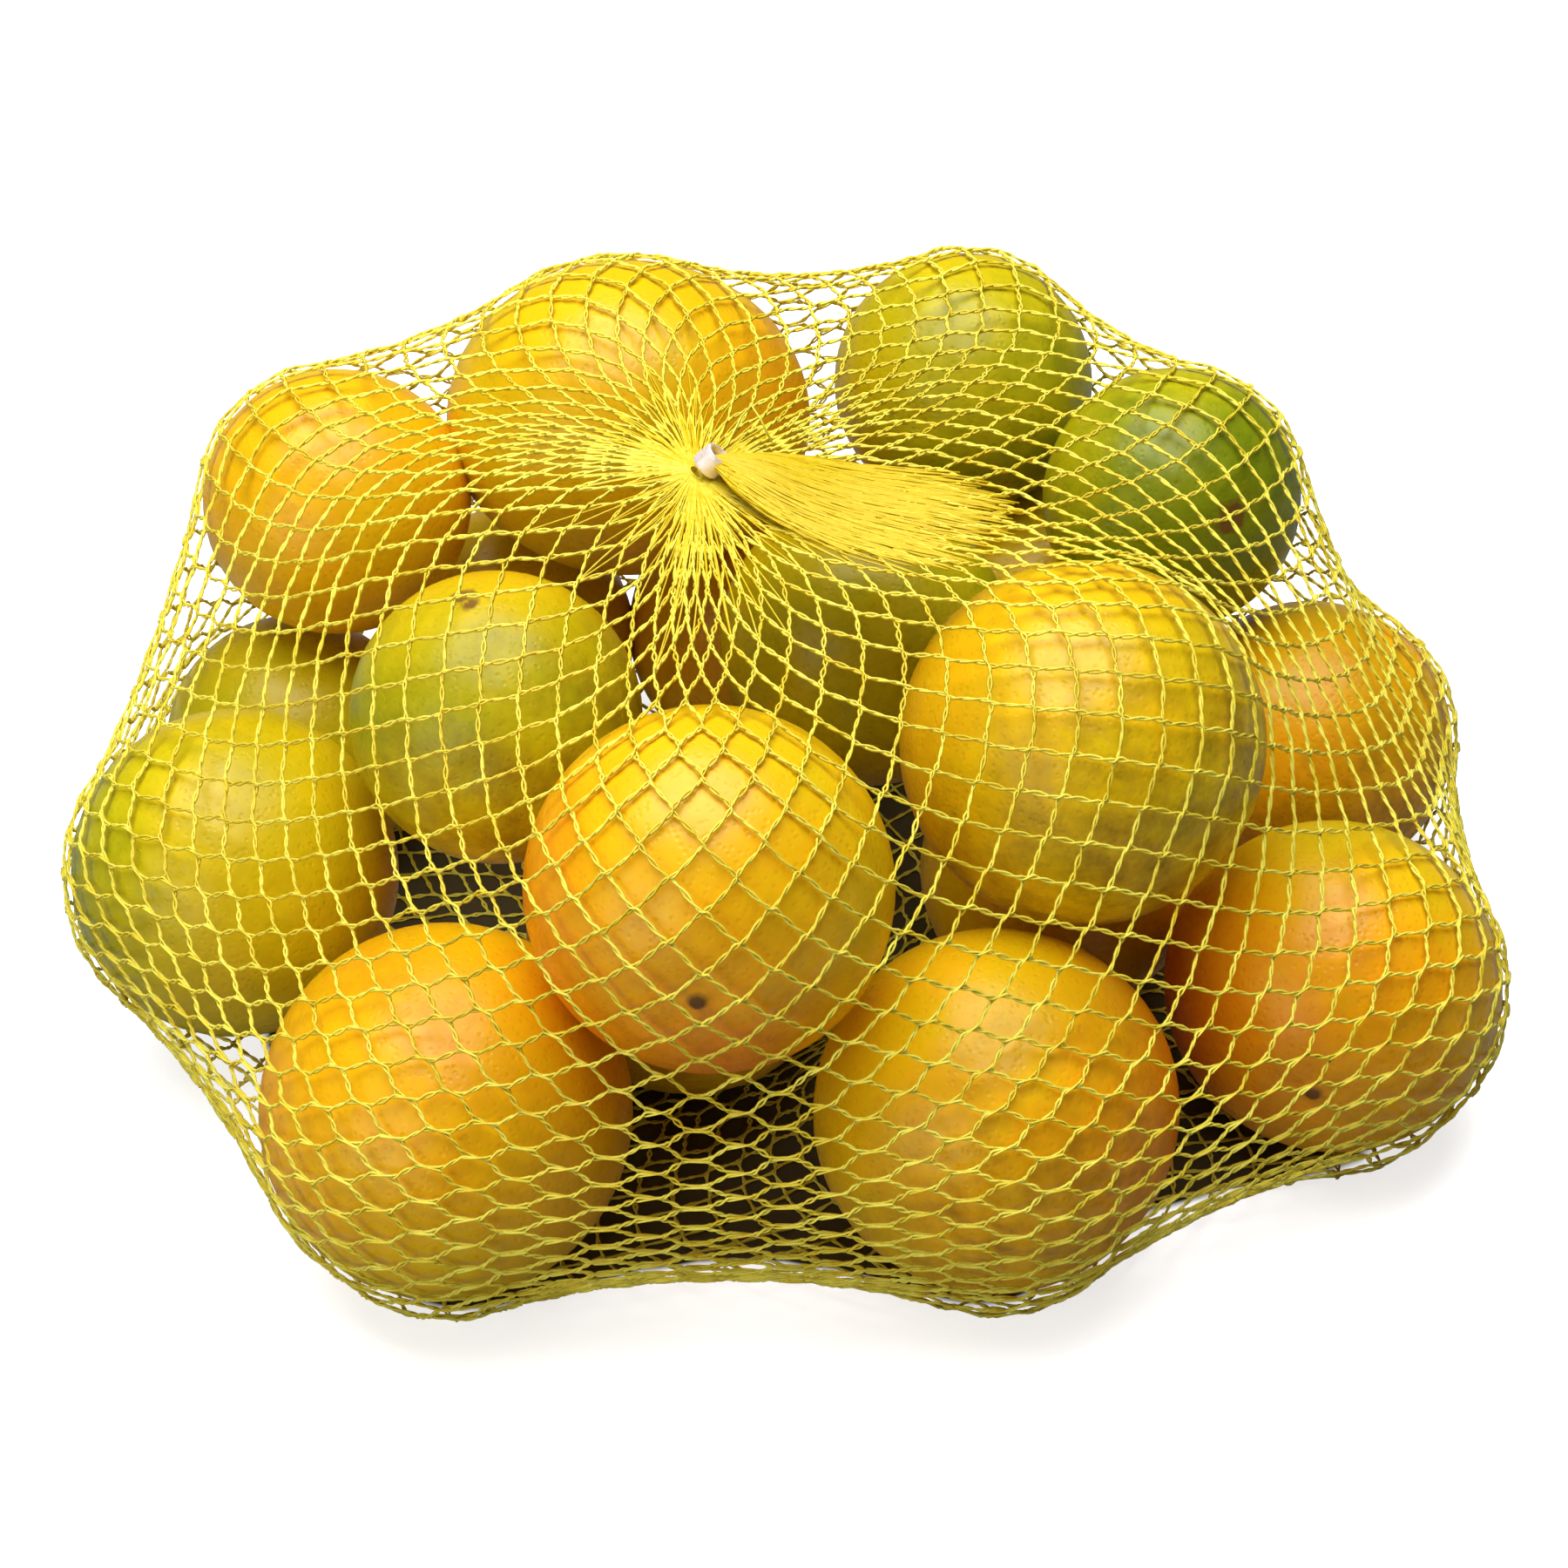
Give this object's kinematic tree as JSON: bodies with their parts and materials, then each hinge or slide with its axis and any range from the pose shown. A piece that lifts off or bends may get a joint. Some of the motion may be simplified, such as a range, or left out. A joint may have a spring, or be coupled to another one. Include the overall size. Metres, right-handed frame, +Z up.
{
  "type": "net bag of oranges",
  "caption": "Lumpy net bag of oranges lying on its flattened base, the yellow net drawn tight over the fruit and gathered on top by a crimped metal clip, spare net fanned to one side.",
  "frame": {"origin": "on the table, under the middle of the bag's outline", "axes": "+Z up from the table, +X along the bag's length to the right of the front, +Y to the back"},
  "size_m": [0.3122, 0.2618, 0.1448],
  "materials": {
    "net": "knitted bright yellow polyethylene strands, satin, slightly see-through",
    "clip_metal": "bright crimped band",
    "peel": "pored waxy orange peel, orange to yellow and green; stands for the fruit that shows through the net"
  },
  "bodies": {
    "root": {"net_bag": "net", "clip": "clip_metal"}
  },
  "joints": []
}
